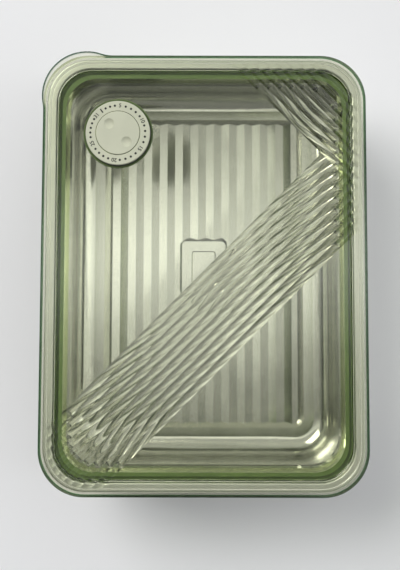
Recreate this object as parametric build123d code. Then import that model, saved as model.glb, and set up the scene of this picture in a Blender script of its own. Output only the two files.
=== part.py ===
from build123d import *
import math
import os

os.makedirs("parts", exist_ok=True)

# Lid outline and box height
lid_width = 200.0
lid_length = 269.0
lid_corner_radius = 28.0
box_height = 72.0

# Lid steps, each inset measured from the lid's outer edge
flange_width = 4.9
flange_slope = 0.3
flange_step = 1.0
plateau_inset = 9.1
panel_slope = 0.8
plate_thickness = 1.9
seat_gap = 0.1
panel_drop = 2.0
panel_thickness = 2.2
step_corner_radius = 21.0
outer_skirt_thickness = 1.6
outer_skirt_depth = 6.0
flange_pocket_depth = 1.0
edge_round = 0.6
fit_gap = 0.3

# Inner skirt that carries the gasket
skirt_inset = 13.9
skirt_thickness = 2.7
skirt_depth = 9.8
skirt_corner_radius = 18.5
retaining_lip_reach = 2.6
retaining_lip_height = 1.4

# Gasket in the skirt's groove
gasket_body_thickness = 2.4
gasket_lip_thickness = 0.9
gasket_lip_rise = 1.3
gasket_lip_height = 0.8
gasket_lip_spacing = 3.3
gasket_tip_gap = 0.45
gasket_top_gap = 0.2

# Finger tab at the lid's corner
tab_radius = 27.7
tab_reach_x = 0.9
tab_reach_y = 2.6
tab_thickness = 2.2
tab_blend_radius = 22.0

# Reeds moulded in the top of the lid
reed_pitch = 4.94
reed_height = 0.62
reed_root = 0.5
upper_band_corner = 62.4
upper_band_count = 8
lower_band_start = -0.85
lower_band_count = 10

# Pressed steel box
steel_thickness = 0.8
opening_inset = 8.2
wall_lean_x = 6.6
wall_lean_y = 4.0
foot_corner_radius = 23.0
floor_radius = 11.0
rim_roll_radius = 1.3
rim_gap = 0.6
rim_bend_radius = 1.0

# Pleated field of the box floor, raised above the flat ring it stands on
ring_width_x = 5.7
ring_width_y = 5.4
field_rise = 1.8
field_run_per_rise = 1.65
field_corner_radius = 6.3
pleat_pitch = 10.71
pleat_height = 1.0
pleat_valley_x = -3.9

# Plain pad sunk in the field, its depth measured from the bottom of the pleats
pad_depth = 0.5
pad_width = 29.9
pad_length = 36.5
pad_centre_y = 2.6
pad_corner_radius = 3.0
pad_frame_margin = 6.7
pad_frame_radius = 2.0
pad_frame_line = 0.7
pad_frame_depth = 0.2

# Vacuum valve and date ring
valve_inset_x = 46.6
valve_inset_y = 48.9
lid_bore_radius = 14.8
barrel_wall = 1.0
valve_seal_radius = 21.5
valve_seal_thickness = 1.2
housing_flange_radius = 20.6
housing_flange_thickness = 1.0
housing_floor_drop = 5.8
housing_floor_thickness = 1.6
running_gap = 0.1
date_ring_radius = 19.9
date_ring_height = 2.55
date_ring_lip_thickness = 0.65
date_ring_lip_radius = 13.8
date_ring_lift = 0.05
snap_bead_radius = 0.3
vent_count = 6
vent_radius = 1.2
vent_circle_radius = 8.0
boss_radius = 5.5
boss_height = 1.8
boss_neck_radius = 4.8
boss_neck_height = 1.0

# Button, its stem, spring and seals
button_proud = 0.5
button_plate_thickness = 2.0
button_skirt_depth = 4.0
button_skirt_wall = 1.0
button_stroke = 1.5
dimple_radius = 3.25
dimple_depth = 1.2
dimple_circle_radius = 7.8
stem_radius = 1.8
stem_clip_radius = 3.2
stem_clip_thickness = 0.5
stem_seal_radius = 3.5
stem_seal_thickness = 1.0
stem_tail = 0.5
soft_gap = 0.1
spring_wire_radius = 0.35
spring_coil_radius = 3.8
spring_turns = 5.0
flap_radius = 11.0
flap_thickness = 0.8

# Nut and splash guard
nut_radius = 20.0
nut_height = 4.0
nut_notch_count = 8
nut_notch_radius = 1.6
guard_thickness = 1.2
guard_clearance = 0.8
guard_slot_count = 8
guard_slot_width = 1.6
guard_slot_outer_share = 0.8
guard_slot_inner_share = 0.35

# Triangle mark beside the date ring
mark_size = 6.6
mark_line = 0.45
mark_height = 0.25
mark_root = 0.2
mark_distance = 26.0
mark_angle = 134.0

# Overshoot of cutting shapes, and how level an edge must lie to be rounded
cut_margin = 1.0
level_tolerance = 0.02

lid_seat = box_height + seat_gap
plateau_top = lid_seat + plate_thickness
flange_top = plateau_top + flange_step
panel_top = plateau_top - panel_drop
panel_bottom = panel_top - panel_thickness
skirt_bottom = panel_bottom - skirt_depth
opening_half_x = lid_width / 2 - opening_inset
opening_half_y = lid_length / 2 - opening_inset
foot_half_x = opening_half_x - wall_lean_x
foot_half_y = opening_half_y - wall_lean_y
flat_half_x = foot_half_x - floor_radius
flat_half_y = foot_half_y - floor_radius
field_half_x = flat_half_x - ring_width_x
field_half_y = flat_half_y - ring_width_y
pad_level = steel_thickness + field_rise - pad_depth
valve_x = valve_inset_x - lid_width / 2
valve_y = lid_length / 2 - valve_inset_y
barrel_radius = lid_bore_radius - fit_gap
barrel_bore = barrel_radius - barrel_wall
seal_top = panel_top + valve_seal_thickness
housing_top = seal_top + housing_flange_thickness
ring_bottom = housing_top + date_ring_lift
ring_top = ring_bottom + date_ring_height
barrel_top = ring_top - date_ring_lip_thickness - running_gap
housing_floor_top = panel_top - housing_floor_drop
housing_floor_bottom = housing_floor_top - housing_floor_thickness
boss_top = housing_floor_top + boss_height
button_top = ring_top + button_proud
button_underside = button_top - button_plate_thickness
stem_seal_top = housing_floor_bottom - soft_gap
stem_clip_top = stem_seal_top - stem_seal_thickness
stem_bottom = stem_clip_top - stem_clip_thickness - stem_tail
housing_bottom = stem_bottom - button_stroke - guard_clearance - guard_thickness


def corner_at(inset):
    """Corner radius of the lid's contour at an inset from its outer edge."""
    if inset <= plateau_inset:
        share = inset / plateau_inset
        return lid_corner_radius + (step_corner_radius - lid_corner_radius) * share
    share = (inset - plateau_inset) / (skirt_inset + skirt_thickness - plateau_inset)
    return step_corner_radius + (skirt_corner_radius - step_corner_radius) * share


def wall_inset(level):
    """Inset of the steel wall's inner face at a level, on the sides that lean more."""
    share = (box_height - level) / (box_height - steel_thickness)
    return opening_inset + max(wall_lean_x, wall_lean_y) * share


def outline(inset):
    """Rounded contour of the lid at an inset from its outer edge."""
    width = lid_width - 2 * inset
    length = lid_length - 2 * inset
    return RectangleRounded(width, length, corner_at(inset))


def slab(face, low, high):
    """Straight prism of a flat face between two heights."""
    return extrude(Plane.XY.offset(low) * face, amount=high - low)


def slope(low_face, low, high_face, high):
    """Sloped solid between two contours at two heights."""
    lower = Plane.XY.offset(low) * low_face
    upper = Plane.XY.offset(high) * high_face
    return loft([lower.faces()[0], upper.faces()[0]], ruled=True)


def band(outer_inset, inner_inset, low, high):
    """Ring of the lid's contour between two insets."""
    return slab(outline(outer_inset), low, high) - slab(outline(inner_inset), low, high)


def at_valve(shape):
    """Shape moved from the origin to the valve's axis."""
    return Pos(valve_x, valve_y, 0) * shape


def disc(radius, low, high):
    """Round slab on the origin's axis."""
    return slab(Circle(radius), low, high)


def washer(outer_radius, inner_radius, low, high):
    """Flat ring on the origin's axis."""
    return disc(outer_radius, low, high) - disc(inner_radius, low, high)


def box_body(offset):
    """Drafted solid with the round-bottomed form of the box, grown by an offset."""
    low_level = steel_thickness - offset
    high_face = RectangleRounded(
        2 * (opening_half_x + offset),
        2 * (opening_half_y + offset),
        corner_at(opening_inset) + offset,
    )
    low_face = RectangleRounded(
        2 * (foot_half_x + offset),
        2 * (foot_half_y + offset),
        foot_corner_radius + offset,
    )
    body = slope(low_face, low_level, high_face, box_height)
    bottom_edges = body.faces().sort_by(Axis.Z)[0].edges()
    return fillet(bottom_edges, floor_radius + offset)


def field_face(grow):
    """Contour of the raised field's foot, grown by an offset."""
    return RectangleRounded(
        2 * (field_half_x + grow),
        2 * (field_half_y + grow),
        field_corner_radius + grow,
    )


def pad_face(grow):
    """Contour of the flat bottom of the sunk pad, grown by an offset."""
    face = RectangleRounded(
        pad_width + 2 * grow,
        pad_length + 2 * grow,
        pad_corner_radius + grow,
    )
    return Pos(0, pad_centre_y) * face


def pad_frame_face(inset):
    """Contour of the grooved frame on the pad, drawn in by an inset."""
    face = RectangleRounded(
        pad_width - 2 * (pad_frame_margin + inset),
        pad_length - 2 * (pad_frame_margin + inset),
        pad_frame_radius - inset,
    )
    return Pos(0, pad_centre_y) * face


def folded_block():
    """Block whose top is folded in straight pleats from edge to edge of the field."""
    valley = steel_thickness + field_rise
    start = pleat_valley_x - pleat_pitch * math.ceil((field_half_x + pleat_valley_x) / pleat_pitch)
    top = [(start, valley)]
    for pleat in range(math.ceil((field_half_x - start) / pleat_pitch)):
        left = start + pleat * pleat_pitch
        top.append((left + pleat_pitch / 2, valley + pleat_height))
        top.append((left + pleat_pitch, valley))
    end = top[-1][0]
    face = make_face(Polyline(*top, (end, 0), (start, 0), close=True))
    return extrude(Plane.XZ * face, amount=lid_length, both=True)


def field_form():
    """Solid under the top of the raised field: sloped sides, pleats and sunk pad."""
    foot = steel_thickness
    rise = field_rise + pleat_height
    run = rise * field_run_per_rise
    sides = slope(field_face(0), foot, field_face(-run), foot + rise)
    sunk_run = (pad_depth + pleat_height) * field_run_per_rise
    sunk = slope(pad_face(0), pad_level, pad_face(sunk_run), foot + rise)
    return (sides & folded_block()) - sunk


def floor_field():
    """Raised field of the floor, one sheet thick all over."""
    form = field_form()
    sheet = slab(field_face(0), 0, steel_thickness) + form
    sheet = sheet - Pos(0, 0, -steel_thickness) * form
    groove_bottom = pad_frame_face(pad_frame_line / 2)
    low = pad_level - pad_frame_depth
    outside = slope(groove_bottom, low, pad_frame_face(0), pad_level)
    inside = slope(groove_bottom, low, pad_frame_face(pad_frame_line), pad_level)
    return sheet - (outside - inside)


def rim_path(grow):
    """Contour of the rolled edge's middle line, grown by an offset."""
    outer_inset = outer_skirt_thickness + rim_gap
    inset = outer_inset + rim_roll_radius - grow
    radius = corner_at(outer_inset) - rim_roll_radius + grow
    return RectangleRounded(lid_width - 2 * inset, lid_length - 2 * inset, radius)


def opening_face():
    """Contour of the box opening."""
    return RectangleRounded(2 * opening_half_x, 2 * opening_half_y, corner_at(opening_inset))


def rim():
    """Outward rim of the box with its rolled edge."""
    flange = slab(rim_path(0), box_height - steel_thickness, box_height)
    flange = flange - slab(opening_face(), box_height - steel_thickness, box_height)
    path = rim_path(0).wire().moved(Location((0, 0, box_height - rim_roll_radius)))
    section_plane = Plane(origin=path @ 0, z_dir=path % 0, x_dir=(0, 0, 1))
    outer_roll = sweep(section_plane * Circle(rim_roll_radius), path=path)
    hollow = sweep(section_plane * Circle(rim_roll_radius - steel_thickness), path=path)
    return flange + outer_roll - hollow


def contour_edges(shape, level, grow):
    """Edges of a shape at one level that run round the box opening."""
    chosen = []
    for edge in shape.edges():
        bounds = edge.bounding_box()
        height_error = max(abs(bounds.min.Z - level), abs(bounds.max.Z - level))
        flat = height_error < level_tolerance
        reach_x = max(-bounds.min.X, bounds.max.X)
        reach_y = max(-bounds.min.Y, bounds.max.Y)
        if flat and reach_x < opening_half_x + grow and reach_y < opening_half_y + grow:
            chosen.append(edge)
    return chosen


def make_steel_box():
    """Box with its rim, rolled edge and pleated floor."""
    shell = box_body(steel_thickness) - box_body(0)
    window = slab(field_face(0), -cut_margin, steel_thickness + cut_margin)
    box = shell - window + rim() + floor_field()
    box = fillet(contour_edges(box, box_height, steel_thickness / 2), rim_bend_radius)
    under = contour_edges(box, box_height - steel_thickness, 2 * steel_thickness)
    return fillet(under, rim_bend_radius - steel_thickness)


def tab_outline():
    """Lid's contour joined with the round finger tab."""
    centre_x = -lid_width / 2 - tab_reach_x + tab_radius
    centre_y = lid_length / 2 + tab_reach_y - tab_radius
    joined = outline(0) + Pos(centre_x, centre_y) * Circle(tab_radius)
    corners = []
    for vertex in joined.vertices():
        across = abs(math.dist((vertex.X, vertex.Y), (centre_x, centre_y)) - tab_radius)
        if across < level_tolerance:
            corners.append(vertex)
    return fillet(corners, tab_blend_radius)


def reed_slab(face, level):
    """Prism through the whole height of the reeds at one level."""
    return slab(face, level - reed_root - cut_margin, level + reed_height + cut_margin)


def reed_bar(count, start, level):
    """Row of round-backed reeds that run along X and lie side by side up Y."""
    end = start + count * reed_pitch
    low = level - reed_root
    edges = [Polyline((end, level), (end, low), (start, low), (start, level))]
    for reed in range(count):
        left = start + reed * reed_pitch
        crown = (left + reed_pitch / 2, level + reed_height)
        edges.append(ThreePointArc((left, level), crown, (left + reed_pitch, level)))
    face = make_face(Curve() + edges)
    reach = lid_width + lid_length
    return extrude(Plane.YZ * face, amount=reach / 2, both=True)


def reeds(level, region):
    """Both reed bands at one level, kept inside a region of the lid."""
    upper_start = (lid_width + lid_length) / 2 / math.sqrt(2) - upper_band_corner
    lower_end = -lower_band_start - lower_band_count * reed_pitch
    upper = Rot(0, 0, -45) * reed_bar(upper_band_count, upper_start, level)
    lower = Rot(0, 0, 45) * reed_bar(lower_band_count, lower_end, level)
    reach = lid_width + lid_length
    beyond = Pos(0, upper_start + reach / 2) * Rectangle(2 * reach, reach)
    above = reed_slab(Rot(0, 0, -45) * beyond, level)
    return (upper + (lower - above)) & region


def lid_recess():
    """Material taken away above the plateau and the panel."""
    flange_foot = flange_width + flange_slope
    panel_edge = plateau_inset + panel_slope
    upper = slope(outline(flange_foot), plateau_top, outline(flange_width), flange_top)
    lower = slope(outline(panel_edge), panel_top, outline(plateau_inset), plateau_top)
    return upper, lower


def triangle_mark():
    """Raised triangle outline that points at the date ring."""
    outer = RegularPolygon(mark_size / math.sqrt(3), 3)
    inner = RegularPolygon(mark_size / math.sqrt(3) - 2 * mark_line, 3)
    line = slab(outer - inner, panel_top - mark_root, panel_top + mark_height)
    turned = Rot(0, 0, mark_angle - 180) * line
    angle = math.radians(mark_angle)
    place = Pos(
        valve_x + mark_distance * math.cos(angle),
        valve_y + mark_distance * math.sin(angle),
        0,
    )
    return place * turned


def make_lid_shell():
    """Clear lid with its steps, skirts, tab, reeds and valve bore."""
    under_edge = box_height - outer_skirt_depth
    lid = slab(outline(0), under_edge, flange_top)
    lid = lid + slab(tab_outline(), flange_top - tab_thickness, flange_top)
    top_edges = lid.faces().sort_by(Axis.Z)[-1].outer_wire().edges()
    lid = fillet(top_edges, edge_round)
    lid = lid - slab(outline(outer_skirt_thickness), under_edge, lid_seat)
    pocket_inner = flange_width + flange_slope - plate_thickness / 2
    pocket_top = lid_seat + flange_pocket_depth
    lid = lid - band(outer_skirt_thickness, pocket_inner, lid_seat, pocket_top)
    plug_inset = wall_inset(panel_bottom) + fit_gap
    lid = lid + slab(outline(plug_inset), panel_bottom, lid_seat)
    upper, lower = lid_recess()
    lid = lid - upper - lower
    inner_inset = skirt_inset + skirt_thickness
    lid = lid + band(skirt_inset, inner_inset, skirt_bottom, panel_bottom)
    lip_inset = skirt_inset - retaining_lip_reach
    lip_top = skirt_bottom + retaining_lip_height
    lid = lid + band(lip_inset, inner_inset, skirt_bottom, lip_top)
    flange_mid = flange_width + flange_slope / 2
    panel_mid = plateau_inset + panel_slope / 2
    plateau_region = reed_slab(outline(flange_mid) - outline(panel_mid), plateau_top)
    panel_region = reed_slab(outline(panel_mid), panel_top)
    lid = lid + reeds(plateau_top, plateau_region) + reeds(panel_top, panel_region)
    lid = lid + triangle_mark()
    bore = disc(lid_bore_radius, panel_bottom - cut_margin, panel_top + cut_margin)
    return lid - at_valve(bore)


def gasket_lip(low):
    """One lip that leans up and out toward the steel wall."""
    root = skirt_inset - gasket_body_thickness
    tip = wall_inset(low) + gasket_tip_gap
    lift = gasket_lip_rise
    outer = slope(outline(root), low, outline(tip), low + lift)
    outer = outer + slab(outline(tip), low + lift, low + lift + gasket_lip_thickness)
    inner = slope(
        outline(root),
        low + gasket_lip_thickness,
        outline(tip),
        low + lift + gasket_lip_thickness,
    )
    middle = slab(outline(root + gasket_body_thickness / 2), low, low + gasket_lip_thickness)
    return outer - inner - middle


def make_lid_gasket():
    """Silicone ring with two lips in the groove of the inner skirt."""
    low = skirt_bottom + retaining_lip_height
    high = panel_bottom - gasket_top_gap
    root = skirt_inset - gasket_body_thickness
    inner = skirt_inset - soft_gap
    body = band(root, inner, low, high)
    lower_lip = gasket_lip(low + gasket_lip_height)
    upper_lip = gasket_lip(low + gasket_lip_height + gasket_lip_spacing)
    return body + lower_lip + upper_lip


def make_housing_seal():
    """Flat silicone ring under the housing's flange."""
    seal = washer(valve_seal_radius, lid_bore_radius + fit_gap, panel_top, seal_top)
    return at_valve(seal)


def make_valve_housing():
    """Cup through the lid with its flange, vent floor and centre boss."""
    housing = disc(barrel_radius, housing_bottom, barrel_top)
    housing = housing + disc(housing_flange_radius, seal_top, housing_top)
    bead_z = (ring_bottom + barrel_top) / 2
    housing = housing + Pos(0, 0, bead_z) * Torus(barrel_radius, snap_bead_radius)
    housing = housing - disc(barrel_bore, housing_floor_top, barrel_top + cut_margin)
    housing = housing - disc(barrel_bore, housing_bottom - cut_margin, housing_floor_bottom)
    housing = housing + disc(boss_neck_radius, housing_floor_top, housing_floor_top + boss_neck_height)
    housing = housing + disc(boss_radius, housing_floor_top + boss_neck_height, boss_top)
    housing = housing - disc(stem_radius + running_gap, housing_bottom, boss_top + cut_margin)
    hole_low = housing_floor_bottom - cut_margin
    hole = disc(vent_radius, hole_low, housing_floor_top + cut_margin)
    for location in PolarLocations(vent_circle_radius, vent_count):
        housing = housing - location * hole
    return at_valve(housing)


def make_retaining_nut():
    """Round nut with grip notches under the lid panel."""
    low = panel_bottom - nut_height
    nut = washer(nut_radius, barrel_radius + running_gap, low, panel_bottom)
    notch = disc(nut_notch_radius, low - cut_margin, panel_bottom + cut_margin)
    for location in PolarLocations(nut_radius, nut_notch_count):
        nut = nut - location * notch
    return at_valve(nut)


def make_date_ring():
    """Day ring that snaps over the housing and turns."""
    lip_low = ring_top - date_ring_lip_thickness
    ring = disc(date_ring_radius, ring_bottom, ring_top)
    top_edge = ring.edges().filter_by(GeomType.CIRCLE).sort_by(Axis.Z)[-1]
    ring = fillet(top_edge, edge_round)
    ring = ring - disc(date_ring_lip_radius, lip_low, ring_top + cut_margin)
    ring = ring - disc(barrel_radius + running_gap, ring_bottom - cut_margin, lip_low)
    bead_z = (ring_bottom + barrel_top) / 2
    groove = Torus(barrel_radius + running_gap, snap_bead_radius + running_gap)
    return at_valve(ring - Pos(0, 0, bead_z) * groove)


def make_umbrella_valve():
    """Thin silicone flap round the boss, over the vent holes."""
    low = housing_floor_top + soft_gap
    flap = washer(flap_radius, boss_neck_radius + soft_gap, low, low + flap_thickness)
    return at_valve(flap)


def make_valve_button():
    """Button with two dimples, guide skirt and stem."""
    radius = barrel_bore - running_gap
    button = disc(radius, button_underside - button_skirt_depth, button_top)
    top_edge = button.edges().filter_by(GeomType.CIRCLE).sort_by(Axis.Z)[-1]
    button = fillet(top_edge, edge_round / 2)
    hollow = disc(radius - button_skirt_wall, button_underside - button_skirt_depth, button_underside)
    button = button - hollow
    button = button + disc(stem_radius, stem_bottom, button_underside)
    sphere_radius = (dimple_radius**2 + dimple_depth**2) / (2 * dimple_depth)
    sphere_z = button_top - dimple_depth + sphere_radius
    for turn in (mark_angle, mark_angle + 180):
        angle = math.radians(turn)
        centre = Pos(
            dimple_circle_radius * math.cos(angle),
            dimple_circle_radius * math.sin(angle),
            sphere_z,
        )
        button = button - centre * Sphere(sphere_radius)
    return at_valve(button)


def make_button_spring():
    """Coil spring between the housing's boss and the button."""
    low = boss_top + spring_wire_radius + soft_gap / 2
    high = button_underside - spring_wire_radius - soft_gap / 2
    path = Helix((high - low) / spring_turns, high - low, spring_coil_radius)
    start_plane = Plane(origin=path @ 0, z_dir=path % 0)
    coil = sweep(start_plane * Circle(spring_wire_radius), path=path, is_frenet=True)
    return at_valve(Pos(0, 0, low) * coil)


def make_stem_seal():
    """Silicone washer that closes the stem hole from below."""
    seal = washer(stem_seal_radius, stem_radius + soft_gap, stem_clip_top, stem_seal_top)
    return at_valve(seal)


def make_stem_clip():
    """Washer that holds the stem seal on the stem."""
    low = stem_clip_top - stem_clip_thickness
    clip = washer(stem_clip_radius, stem_radius, low, stem_clip_top)
    return at_valve(clip)


def make_splash_guard():
    """Slotted disc that closes the bottom of the housing."""
    high = housing_bottom + guard_thickness
    guard = disc(barrel_bore - running_gap / 2, housing_bottom, high)
    slot_outer = barrel_bore * guard_slot_outer_share
    slot_inner = barrel_bore * guard_slot_inner_share
    slot_length = slot_outer - slot_inner
    slot_face = SlotOverall(slot_length, guard_slot_width)
    for number in range(guard_slot_count):
        turn = 360 / guard_slot_count * number
        slot = Rot(0, 0, turn) * Pos((slot_outer + slot_inner) / 2, 0) * slot_face
        guard = guard - slab(slot, housing_bottom - cut_margin, high + cut_margin)
    return at_valve(guard)


makers = {
    "steel_box": make_steel_box,
    "lid_shell": make_lid_shell,
    "lid_gasket": make_lid_gasket,
    "housing_seal": make_housing_seal,
    "valve_housing": make_valve_housing,
    "retaining_nut": make_retaining_nut,
    "date_ring": make_date_ring,
    "umbrella_valve": make_umbrella_valve,
    "valve_button": make_valve_button,
    "button_spring": make_button_spring,
    "stem_seal": make_stem_seal,
    "stem_clip": make_stem_clip,
    "splash_guard": make_splash_guard,
}

for node_name, make in makers.items():
    shape = make()
    solids = shape.solids()
    print(node_name, len(solids), round(shape.volume, 2), shape.is_valid)
    export_step(shape, f"parts/{node_name}.step")
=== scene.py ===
import math
from functools import partial

import bmesh
import bpy
from mathutils import Matrix, Vector


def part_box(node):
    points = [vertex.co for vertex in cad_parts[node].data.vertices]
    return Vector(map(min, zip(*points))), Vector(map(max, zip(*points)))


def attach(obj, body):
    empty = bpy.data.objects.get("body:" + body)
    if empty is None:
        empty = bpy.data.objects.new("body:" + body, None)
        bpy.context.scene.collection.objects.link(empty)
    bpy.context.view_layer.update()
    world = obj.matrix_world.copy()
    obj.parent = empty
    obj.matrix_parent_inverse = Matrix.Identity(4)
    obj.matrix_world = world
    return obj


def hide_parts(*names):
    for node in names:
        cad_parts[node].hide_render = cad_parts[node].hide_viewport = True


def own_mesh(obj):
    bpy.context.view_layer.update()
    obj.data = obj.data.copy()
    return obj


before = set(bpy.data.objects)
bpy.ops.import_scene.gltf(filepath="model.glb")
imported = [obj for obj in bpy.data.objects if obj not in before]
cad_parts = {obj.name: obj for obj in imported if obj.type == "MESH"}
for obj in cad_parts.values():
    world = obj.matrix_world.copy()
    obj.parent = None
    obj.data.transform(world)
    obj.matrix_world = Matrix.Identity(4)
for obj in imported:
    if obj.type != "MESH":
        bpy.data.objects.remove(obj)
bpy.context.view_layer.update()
print("frame loaded:", len(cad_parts), "nodes")


def addObject(name, data):
    made = bpy.data.objects.new(name, data)
    bpy.context.scene.collection.objects.link(made)
    return made


def addMeshObject(name, mesh, material):
    # turns finished faces into an object, and frees them
    data = bpy.data.meshes.new(name)
    mesh.to_mesh(data)
    mesh.free()
    data.materials.append(material)
    return addObject(name, data)


def boxMiddle(low, high, level):
    return Vector(((low[0] + high[0]) / 2, (low[1] + high[1]) / 2, level))


cameraView = {
    "place": (-0.00264, 0.00398, 0.6297),
    "tilt": 4.55,  # degrees away from straight down
    "roll": 0.141,
    "lens": 57.19,
    "sensor": 36.0,
    "shiftY": -0.16,
    "nearest": 0.01,
    "farthest": 20,
}


def addCamera():
    data = bpy.data.cameras.new("photoCamera")
    data.lens = cameraView["lens"]
    data.sensor_width = cameraView["sensor"]
    data.shift_y = cameraView["shiftY"]
    data.clip_start = cameraView["nearest"]
    data.clip_end = cameraView["farthest"]
    camera = addObject("photoCamera", data)
    tilt = Matrix.Rotation(math.radians(cameraView["tilt"]), 4, "X")
    roll = Matrix.Rotation(math.radians(cameraView["roll"]), 4, "Z")
    camera.matrix_world = Matrix.Translation(cameraView["place"]) @ tilt @ roll
    bpy.context.scene.camera = camera


addCamera()
print("camera set")


noiseBand = (0.3, 0.7)  # nearly all of a noise's values lie in here


def startMaterial(name):
    material = bpy.data.materials.new(name)
    material.use_nodes = True
    tree = material.node_tree
    shader = tree.nodes["Principled BSDF"]
    return material, tree, shader


def addMath(tree, operation, *values):
    node = tree.nodes.new("ShaderNodeMath")
    node.operation = operation
    for place, value in zip(node.inputs, values):
        if isinstance(value, (int, float)):
            place.default_value = value
        else:
            tree.links.new(value, place)
    return node.outputs["Value"]


def addDistance(tree, x, y):
    squares = addMath(tree, "MULTIPLY_ADD", x, x, addMath(tree, "MULTIPLY", y, y))
    return addMath(tree, "SQRT", squares)


def addBell(tree, value, centre, width):
    # one at the centre, falling away smoothly on both sides
    offset = addMath(tree, "DIVIDE", addMath(tree, "SUBTRACT", value, centre), width)
    square = addMath(tree, "MULTIPLY", offset, offset)
    return addMath(tree, "EXPONENT", addMath(tree, "MULTIPLY", square, -1.0))


def splitPlace(tree, space):
    coords = tree.nodes.new("ShaderNodeTexCoord")
    split = tree.nodes.new("ShaderNodeSeparateXYZ")
    tree.links.new(coords.outputs[space], split.inputs["Vector"])
    return [split.outputs[axis] for axis in "XYZ"]


def addNoise(tree, scale, detail, stretch=(1, 1, 1)):
    coords = tree.nodes.new("ShaderNodeTexCoord")
    mapping = tree.nodes.new("ShaderNodeMapping")
    mapping.inputs["Scale"].default_value = stretch
    noise = tree.nodes.new("ShaderNodeTexNoise")
    noise.inputs["Scale"].default_value = scale
    noise.inputs["Detail"].default_value = detail
    tree.links.new(coords.outputs["Object"], mapping.inputs["Vector"])
    tree.links.new(mapping.outputs["Vector"], noise.inputs["Vector"])
    return noise.outputs["Fac"]


def remap(tree, source, before, after=(0.0, 1.0)):
    node = tree.nodes.new("ShaderNodeMapRange")
    for end, start, goal in zip(("Min", "Max"), before, after):
        node.inputs["From " + end].default_value = start
        node.inputs["To " + end].default_value = goal
    tree.links.new(source, node.inputs["Value"])
    return node.outputs["Result"]


def blendColours(tree, source, colours):
    ramp = tree.nodes.new("ShaderNodeValToRGB")
    for element, place, colour in zip(ramp.color_ramp.elements, noiseBand, colours):
        element.position = place
        element.color = (*colour, 1)
    tree.links.new(source, ramp.inputs["Fac"])
    return ramp.outputs["Color"]


def addClouds(tree, shader, finish):
    # soft clouds that carry the colour, and give back a roughness that goes with it
    clouds = addNoise(tree, finish["cloudScale"], finish["cloudDetail"])
    tree.links.new(blendColours(tree, clouds, finish["colours"]), shader.inputs["Base Color"])
    return remap(tree, clouds, noiseBand, finish["rough"])


def addGrain(tree, shader, finish):
    grain = addNoise(tree, finish["grainScale"], finish["grainDetail"], finish["grainStretch"])
    bump = tree.nodes.new("ShaderNodeBump")
    bump.inputs["Strength"].default_value = finish["grainStrength"]
    bump.inputs["Distance"].default_value = finish["grainDepth"]
    tree.links.new(grain, bump.inputs["Height"])
    tree.links.new(bump.outputs["Normal"], shader.inputs["Normal"])


steelFinish = {
    "colours": ((0.72, 0.725, 0.66), (0.76, 0.765, 0.70)),
    "rough": (0.165, 0.205),
    "rimRough": 0.40,
    "rimLevel": (0.0705, 0.0715),  # heights where the duller rim starts and is full
    "cloudScale": 45,
    "cloudDetail": 3,
    "grainScale": 1.0,
    "grainDetail": 2,
    "grainStretch": (2600, 60, 2600),  # brushed along Y
    "grainStrength": 0.10,
    "grainDepth": 0.00002,
}


def roughRim(tree, rough, finish):
    # the flat rim is brushed duller than the pressed box below it
    level = splitPlace(tree, "Object")[2]
    mix = tree.nodes.new("ShaderNodeMix")
    mix.inputs["B"].default_value = finish["rimRough"]
    tree.links.new(remap(tree, level, finish["rimLevel"]), mix.inputs["Factor"])
    tree.links.new(rough, mix.inputs["A"])
    return mix.outputs["Result"]


def makeSteel(name, finish):
    material, tree, shader = startMaterial(name)
    shader.inputs["Metallic"].default_value = 1.0
    rough = addClouds(tree, shader, finish)
    tree.links.new(roughRim(tree, rough, finish), shader.inputs["Roughness"])
    addGrain(tree, shader, finish)
    return material


lidFinish = {
    "tint": (1.0, 0.98, 0.97),
    "rough": (0.015, 0.05),
    "hazeScale": 60,
    "hazeDetail": 3,
    "bend": 1.49,
    "depthColour": (0.52, 0.64, 0.14),
    "depthDensity": 85.0,
    "passing": (0.84, 0.90, 0.78),  # colour of the lamps' light behind the lid
    # painted shade: the dark green painted along the lid's outer edge and the skirt's foot
    "paintedEdgeShade": (0.030, 0.095, 0.050),
    "edgeLevel": 0.0024,  # how far the painted dark line reaches down from the lid's top
    "skirtFoot": 0.0662,  # the skirt is painted dark below this height, as shade
    "edgeReach": (-0.0013, -0.0005),  # from the outline, where the painted shade starts and is full
    "lidHalf": (0.100, 0.1345),
    "cornerRadius": 0.028,
    "tabCentre": (-0.0732, 0.1094),
    "tabRadius": 0.0277,
    "tabBlend": 0.001,
}


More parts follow.
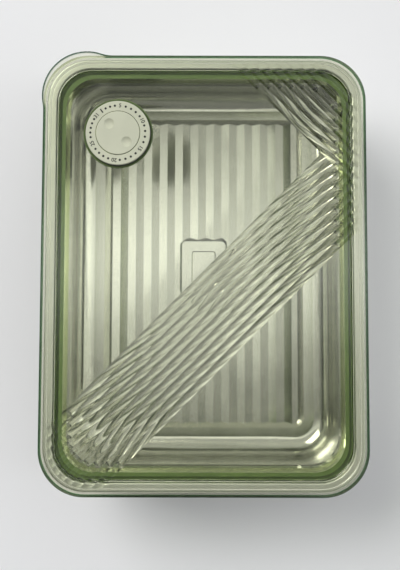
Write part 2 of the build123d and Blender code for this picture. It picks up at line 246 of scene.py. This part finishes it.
def paintedEdgeShade(tree, finish):
    # painted shade: looking down along the outer edge, more plastic lies behind it, which
    # darkens it only a little; the dark green painted here along the edge and the skirt's foot
    # stands for the shade and dark surroundings seen through the rounded edge
    compute = partial(addMath, tree)
    x, y, z = splitPlace(tree, "Object")
    radius = finish["cornerRadius"]
    halfX, halfY = finish["lidHalf"]
    pastX = compute("SUBTRACT", compute("ABSOLUTE", x), halfX - radius)
    pastY = compute("SUBTRACT", compute("ABSOLUTE", y), halfY - radius)
    outside = addDistance(tree, compute("MAXIMUM", pastX, 0.0), compute("MAXIMUM", pastY, 0.0))
    inside = compute("MINIMUM", compute("MAXIMUM", pastX, pastY), 0.0)
    fromLid = compute("SUBTRACT", compute("ADD", outside, inside), radius)
    tabX = compute("SUBTRACT", x, finish["tabCentre"][0])
    tabY = compute("SUBTRACT", y, finish["tabCentre"][1])
    fromTab = compute("SUBTRACT", addDistance(tree, tabX, tabY), finish["tabRadius"])
    past = compute("SMOOTH_MIN", fromLid, fromTab, finish["tabBlend"])
    above = compute("GREATER_THAN", z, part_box("lid_shell")[1][2] - finish["edgeLevel"])
    below = compute("LESS_THAN", z, finish["skirtFoot"])
    ends = compute("MAXIMUM", above, below)
    paintedShadeMask = compute("MULTIPLY", ends, remap(tree, past, finish["edgeReach"]))
    mix = tree.nodes.new("ShaderNodeMix")
    mix.data_type = "RGBA"
    mix.inputs["A"].default_value = (*finish["tint"], 1)
    mix.inputs["B"].default_value = (*finish["paintedEdgeShade"], 1)
    tree.links.new(paintedShadeMask, mix.inputs["Factor"])
    return mix.outputs["Result"]


def makeClearPlastic(name, finish):
    material, tree, shader = startMaterial(name)
    # the base colour carries the painted dark edge shade
    tree.links.new(paintedEdgeShade(tree, finish), shader.inputs["Base Color"])
    shader.inputs["Transmission Weight"].default_value = 1.0
    shader.inputs["IOR"].default_value = finish["bend"]
    haze = addNoise(tree, finish["hazeScale"], finish["hazeDetail"])
    tree.links.new(remap(tree, haze, noiseBand, finish["rough"]), shader.inputs["Roughness"])
    depth = tree.nodes.new("ShaderNodeVolumeAbsorption")
    depth.inputs["Color"].default_value = (*finish["depthColour"], 1)
    depth.inputs["Density"].default_value = finish["depthDensity"]
    output = tree.nodes["Material Output"]
    tree.links.new(depth.outputs["Volume"], output.inputs["Volume"])
    # the lamps shine straight through the clear wall
    clear = tree.nodes.new("ShaderNodeBsdfTransparent")
    clear.inputs["Color"].default_value = (*finish["passing"], 1)
    ray = tree.nodes.new("ShaderNodeLightPath")
    mix = tree.nodes.new("ShaderNodeMixShader")
    tree.links.new(ray.outputs["Is Shadow Ray"], mix.inputs["Fac"])
    tree.links.new(shader.outputs["BSDF"], mix.inputs[1])
    tree.links.new(clear.outputs["BSDF"], mix.inputs[2])
    tree.links.new(mix.outputs["Shader"], output.inputs["Surface"])
    return material


mouldedSurface = {
    "cloudScale": 70,
    "cloudDetail": 4,
    "grainScale": 2200,
    "grainDetail": 2,
    "grainStretch": (1, 1, 1),
    "grainStrength": 0.12,
}

siliconeFinish = {
    **mouldedSurface,
    "colours": ((0.090, 0.138, 0.036), (0.122, 0.174, 0.052)),
    "rough": (0.42, 0.58),
    "grainDepth": 0.00003,
}

palePlasticFinish = {
    **mouldedSurface,
    "colours": ((0.550, 0.560, 0.420), (0.590, 0.600, 0.450)),
    "rough": (0.36, 0.50),
    "grainDepth": 0.00002,
}

inkFinish = {
    **mouldedSurface,
    "colours": ((0.006, 0.008, 0.005), (0.012, 0.015, 0.010)),
    "rough": (0.45, 0.60),
    "grainDepth": 0.00001,
}


def makeMoulded(name, finish):
    material, tree, shader = startMaterial(name)
    tree.links.new(addClouds(tree, shader, finish), shader.inputs["Roughness"])
    addGrain(tree, shader, finish)
    return material


steelMaterial = makeSteel("satinSteel", steelFinish)
springMaterial = makeSteel("springWire", steelFinish)
lidMaterial = makeClearPlastic("clearGreenPlastic", lidFinish)
siliconeMaterial = makeMoulded("greenSilicone", siliconeFinish)
paleMaterial = makeMoulded("palePlastic", palePlasticFinish)
inkMaterial = makeMoulded("dayMarkInk", inkFinish)

nodeMaterials = {
    "steel_box": steelMaterial,
    "lid_shell": lidMaterial,
    "lid_gasket": siliconeMaterial,
    "housing_seal": siliconeMaterial,
    "valve_housing": lidMaterial,
    "retaining_nut": paleMaterial,
    "date_ring": paleMaterial,
    "umbrella_valve": siliconeMaterial,
    "valve_button": paleMaterial,
    "button_spring": springMaterial,
    "stem_seal": siliconeMaterial,
    "stem_clip": springMaterial,
    "splash_guard": paleMaterial,
}

for nodeName, material in nodeMaterials.items():
    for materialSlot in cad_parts[nodeName].material_slots:
        materialSlot.material = material
print("materials on", len(nodeMaterials), "nodes")


valveSpring = {
    "turns": 5,
    "wireRadius": 0.00035,
    "wireSides": 12,
    "stepsPerTurn": 32,
    "pressDepth": 0.0015,
}


def makeValveSpring():
    # stands for the solid spring, as a coil of wire
    low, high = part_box("button_spring")
    wire = valveSpring["wireRadius"]
    sides = valveSpring["wireSides"]
    centre = boxMiddle(low, high, low[2] + wire)
    radius = (high[0] - low[0]) / 2 - wire
    rise = high[2] - low[2] - 2 * wire
    steps = valveSpring["turns"] * valveSpring["stepsPerTurn"]
    fullTurn = 2 * math.pi * valveSpring["turns"]
    mesh = bmesh.new()
    rings = []
    for step in range(steps + 1):
        turn = fullTurn * step / steps
        outward = Vector((math.cos(turn), math.sin(turn), 0))
        along = Vector((
            -math.sin(turn) * radius * fullTurn,
            math.cos(turn) * radius * fullTurn,
            rise,
        ))
        across = outward.cross(along.normalized())
        point = centre + outward * radius + Vector((0, 0, rise * step / steps))
        ring = []
        for side in range(sides):
            angle = 2 * math.pi * side / sides
            reach = outward * math.cos(angle) + across * math.sin(angle)
            ring.append(mesh.verts.new(point + reach * wire))
        rings.append(ring)
    for before, after in zip(rings, rings[1:]):
        for side in range(sides):
            following = (side + 1) % sides
            mesh.faces.new([before[side], before[following], after[following], after[side]])
    mesh.faces.new(list(reversed(rings[0])))
    mesh.faces.new(rings[-1])
    bmesh.ops.recalc_face_normals(mesh, faces=mesh.faces)
    for face in mesh.faces:
        face.smooth = len(face.verts) == 4  # the cut ends stay flat
    spring = addMeshObject("valveSpring", mesh, springMaterial)
    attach(spring, "lid")
    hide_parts("button_spring")
    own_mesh(spring)


makeValveSpring()
print("valve spring made")


# printed on the ring; angles are anticlockwise from +X, and the days run clockwise
dayMarks = {
    "radius": 0.0169,
    "height": 0.00005,
    "dotRadius": 0.00070,
    "dotSides": 20,
    "numeralSize": 0.0034,
    "numeralWeight": 0.00005,
    "barSize": (0.0008, 0.0028),
    "barAngle": 126.5,
    "numerals": {"5": 85.5, "10": 27.0, "15": -34.5, "20": -97.0, "25": -156.7, "31": 141.0},
    "dotRuns": [  # first angle, step, and number of dots
        (116.8, -10.1, 3),
        (73.5, -12.0, 4),
        (15.6, -11.9, 4),
        (-48.9, -12.1, 4),
        (-109.9, -11.2, 4),
        (-170.3, -9.9, 5),
    ],
}


def markPlace(angle):
    turn = math.radians(angle)
    low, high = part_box("date_ring")
    offset = Vector((math.cos(turn), math.sin(turn), 0)) * dayMarks["radius"]
    place = Matrix.Translation(boxMiddle(low, high, high[2]) + offset)
    return place @ Matrix.Rotation(turn - math.pi / 2, 4, "Z")


def dotCorners():
    sides, radius = dayMarks["dotSides"], dayMarks["dotRadius"]
    turns = [2 * math.pi * side / sides for side in range(sides)]
    return [(-radius * math.sin(turn), radius * math.cos(turn)) for turn in turns]


def barCorners():
    wide, tall = dayMarks["barSize"]
    return [(x * wide / 2, y * tall / 2) for x, y in ((-1, -1), (1, -1), (1, 1), (-1, 1))]


def addPrint(mesh, corners, angle):
    # a flat shape with the thickness of the ink
    base = [mesh.verts.new((x, y, 0)) for x, y in corners]
    top = [mesh.verts.new((x, y, dayMarks["height"])) for x, y in corners]
    mesh.faces.new(list(reversed(base)))
    mesh.faces.new(top)
    for index in range(len(corners)):
        after = (index + 1) % len(corners)
        mesh.faces.new([base[index], base[after], top[after], top[index]])
    bmesh.ops.transform(mesh, matrix=markPlace(angle), verts=base + top)


def addNumeral(mesh, text, angle):
    curve = bpy.data.curves.new("numeral" + text, "FONT")
    curve.body = text
    curve.size = dayMarks["numeralSize"]
    curve.offset = dayMarks["numeralWeight"]
    curve.align_x = "CENTER"
    curve.align_y = "CENTER"
    curve.extrude = dayMarks["height"] / 2
    holder = addObject("numeral" + text, curve)
    bpy.context.view_layer.update()
    graph = bpy.context.evaluated_depsgraph_get()
    shape = bpy.data.meshes.new_from_object(holder.evaluated_get(graph))
    lift = Matrix.Translation((0, 0, dayMarks["height"] / 2))
    shape.transform(markPlace(angle) @ lift)
    mesh.from_mesh(shape)
    bpy.data.objects.remove(holder)
    bpy.data.curves.remove(curve)
    bpy.data.meshes.remove(shape)


def makeDayMarks():
    mesh = bmesh.new()
    for first, step, count in dayMarks["dotRuns"]:
        for number in range(count):
            addPrint(mesh, dotCorners(), first + step * number)
    addPrint(mesh, barCorners(), dayMarks["barAngle"])
    for text, angle in dayMarks["numerals"].items():
        addNumeral(mesh, text, angle)
    bmesh.ops.recalc_face_normals(mesh, faces=mesh.faces)
    marks = addMeshObject("dayMarks", mesh, inkMaterial)
    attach(marks, "date_ring")


makeDayMarks()
print("day marks made")


studio = {
    "floorSize": 6.0,
    "floorColour": (0.86, 0.855, 0.85),
    "floorRough": 0.75,
    "floorDrop": 0.0002,  # keeps the floor clear of the box's underside
    "skyColour": (0.95, 0.97, 1.0),
    "horizon": 0.55,
    "zenith": 0.35,
    "skyLean": (0.10, 0.60),  # brighter toward +X and +Y
    "leanReach": 0.3,
    "sideFill": 0.75,  # low light, more from +X and less from -X
    "glow": 1.22,  # narrow ridge of light overhead, running along X
    "glowCentre": 0.008,
    "glowWidth": 0.078,
    "glowLean": 1.35,
    "sideGlow": 0.45,  # a brighter stretch of that ridge, at -X
    "sideCentre": -0.55,
    "sideWidth": 0.18,
    "lampPlace": (-1.80, 1.60, 2.30),
    "lampSize": (1.9, 1.9),
    "lamps": {
        "keyLamp": {"power": 58.0, "mirrored": False},
        "sheenLamp": {"power": 21.0, "mirrored": True},
    },
}


def addFloor():
    mesh = bmesh.new()
    bmesh.ops.create_grid(mesh, x_segments=1, y_segments=1, size=studio["floorSize"] / 2)
    material, tree, shader = startMaterial("paleFloor")
    shader.inputs["Base Color"].default_value = (*studio["floorColour"], 1)
    shader.inputs["Roughness"].default_value = studio["floorRough"]
    floor = addMeshObject("floor", mesh, material)
    floor.location = (0, 0, -studio["floorDrop"])


def addLamp(name, facts):
    data = bpy.data.lights.new(name, "AREA")
    data.shape = "RECTANGLE"
    data.size, data.size_y = studio["lampSize"]
    data.energy = facts["power"]
    lamp = addObject(name, data)
    lamp.location = studio["lampPlace"]
    lamp.rotation_euler = Vector(studio["lampPlace"]).to_track_quat("Z", "Y").to_euler()
    lamp.visible_glossy = facts["mirrored"]


def addWorld():
    world = bpy.data.worlds.new("studioAir")
    world.use_nodes = True
    tree = world.node_tree
    compute = partial(addMath, tree)
    across, along, up = splitPlace(tree, "Generated")
    height = compute("MAXIMUM", up, 0.0)
    climb = studio["zenith"] - studio["horizon"]
    evenLight = compute("MULTIPLY_ADD", height, climb, studio["horizon"])
    reach = studio["leanReach"]
    for way, lean in zip((across, along), studio["skyLean"]):
        near = compute("MINIMUM", compute("MAXIMUM", way, -reach), reach)
        evenLight = compute("MULTIPLY_ADD", near, lean, evenLight)
    lowDown = compute("SUBTRACT", 1.0, height)
    fill = compute("MULTIPLY", compute("MULTIPLY", across, lowDown), studio["sideFill"])
    evenLight = compute("MAXIMUM", compute("ADD", evenLight, fill), 0.0)
    ridge = addBell(tree, along, studio["glowCentre"], studio["glowWidth"])
    slope = compute("MULTIPLY_ADD", across, studio["glowLean"], 1.0)
    side = addBell(tree, across, studio["sideCentre"], studio["sideWidth"])
    shape = compute("MULTIPLY_ADD", side, studio["sideGlow"], slope)
    overhead = compute("MULTIPLY", height, studio["glow"])
    glow = compute("MULTIPLY", compute("MULTIPLY", ridge, shape), overhead)
    background = tree.nodes["Background"]
    background.inputs["Color"].default_value = (*studio["skyColour"], 1)
    tree.links.new(compute("ADD", evenLight, glow), background.inputs["Strength"])
    bpy.context.scene.world = world


addFloor()
for lampName, lampFacts in studio["lamps"].items():
    addLamp(lampName, lampFacts)
addWorld()
bpy.context.scene.view_settings.view_transform = "Standard"
print("studio set")
